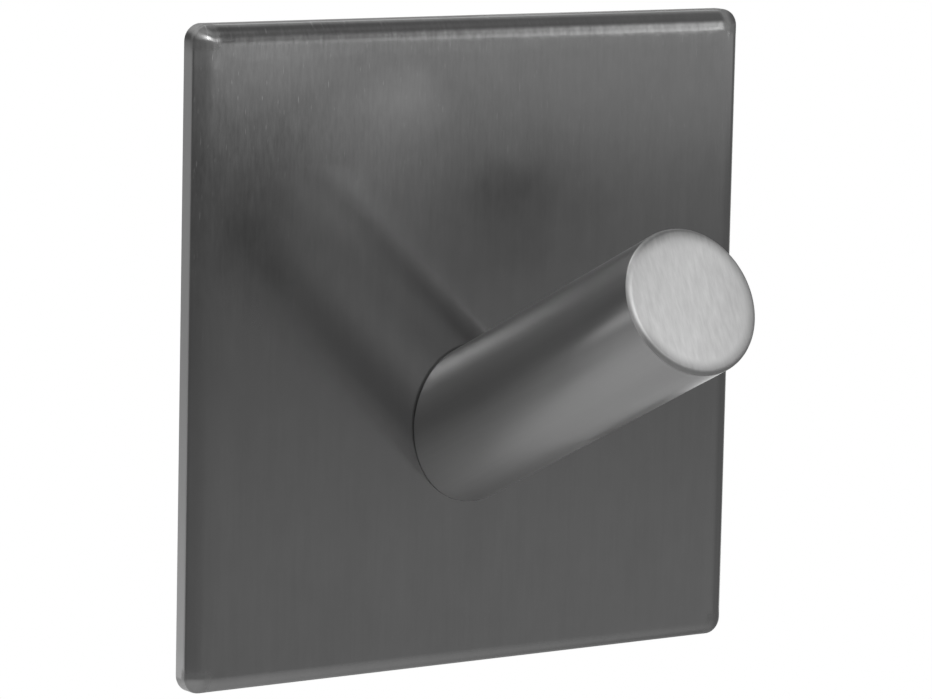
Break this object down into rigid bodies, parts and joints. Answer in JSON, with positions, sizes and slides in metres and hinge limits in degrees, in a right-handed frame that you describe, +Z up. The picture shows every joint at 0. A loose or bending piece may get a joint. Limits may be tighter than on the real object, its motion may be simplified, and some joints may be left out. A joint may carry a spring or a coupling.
{
  "type": "adhesive hook",
  "caption": "Square brushed steel wall hook with a rolled rim and a round peg that leans upwards, stuck to the wall by a foam adhesive pad on its back.",
  "frame": {"origin": "middle of the adhesive pad's wall face", "axes": "+Y into the wall, square to the pad; +Z up the wall; +X to the right as seen from the room"},
  "size_m": [0.045, 0.0296, 0.045],
  "materials": {
    "plate_steel": "upright brush lines, smooth rolled rim",
    "peg_steel": "satin drawn bar with a ground end",
    "screw_steel": "plain stainless",
    "pad_foam": "closed-cell foam with a tacky adhesive face"
  },
  "bodies": {
    "root": {"wall_plate": "plate_steel", "peg": "peg_steel", "fixing_screw": "screw_steel", "adhesive_pad": "pad_foam"}
  },
  "joints": []
}
